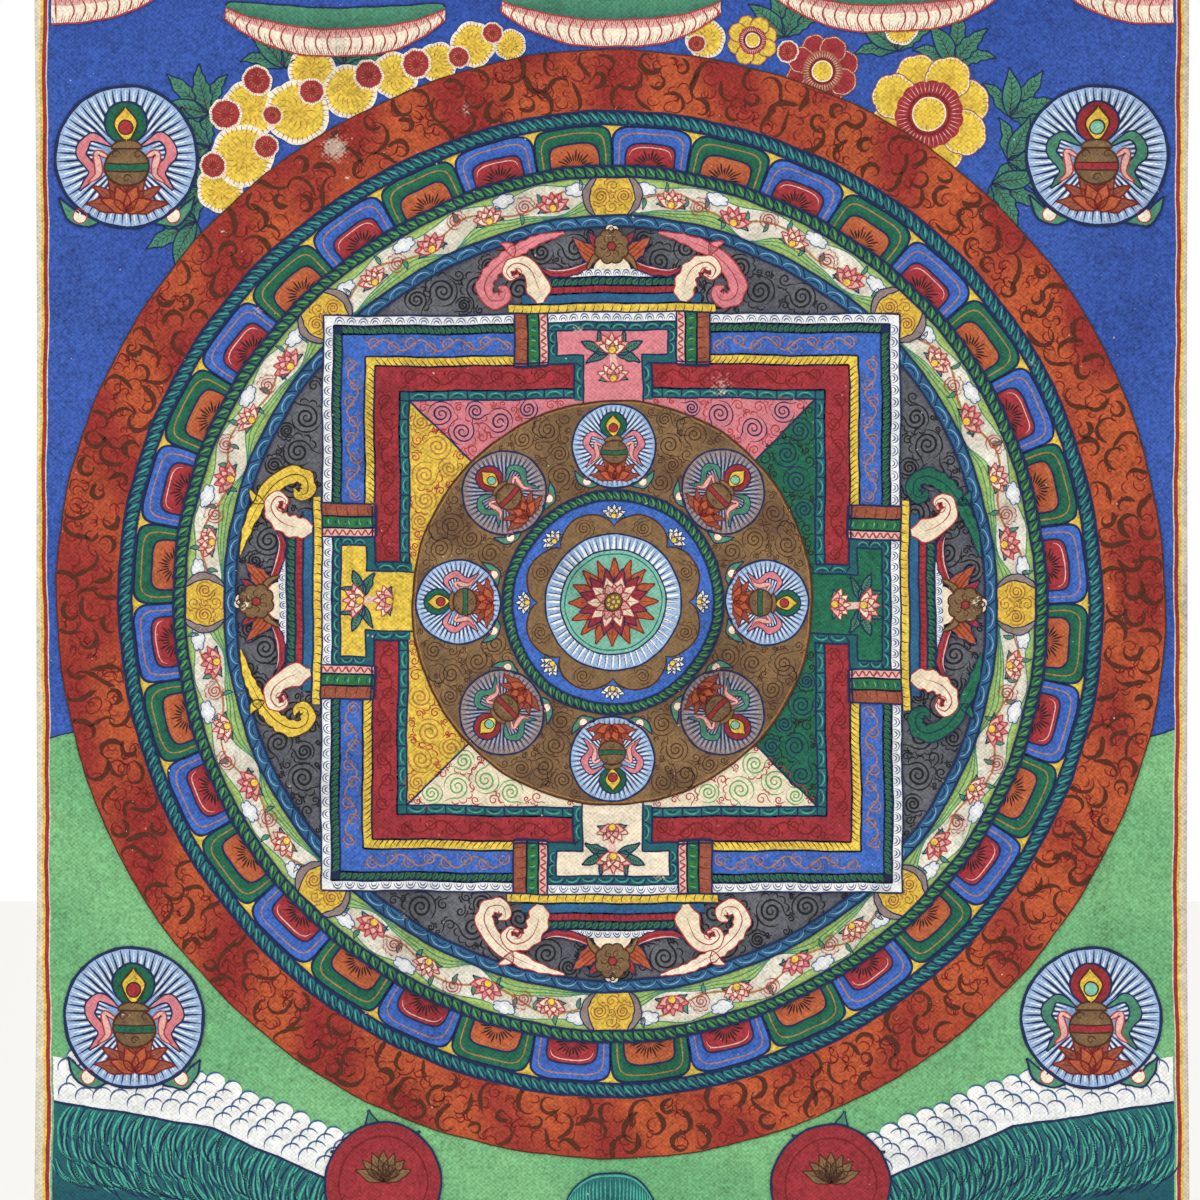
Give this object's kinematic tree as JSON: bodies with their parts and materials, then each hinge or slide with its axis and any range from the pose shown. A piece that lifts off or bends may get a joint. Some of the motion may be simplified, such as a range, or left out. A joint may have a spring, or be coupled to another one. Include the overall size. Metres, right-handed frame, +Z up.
{
  "type": "thangka scroll painting",
  "caption": "Painted cotton canvas hanging from its top edge, with a ringed palace diagram painted across its front.",
  "frame": {"origin": "middle of the cloth's top edge, where it is held", "axes": "+Z up along the cloth's height, +X to the viewer's right, and the painted face looks towards -Y"},
  "size_m": [0.3, 0.0077, 0.41],
  "materials": {
    "painted_cotton": "matt mineral paint in hide glue on primed cotton, with the weave showing through"
  },
  "bodies": {
    "root": {"painted_canvas": "painted_cotton"}
  },
  "joints": []
}
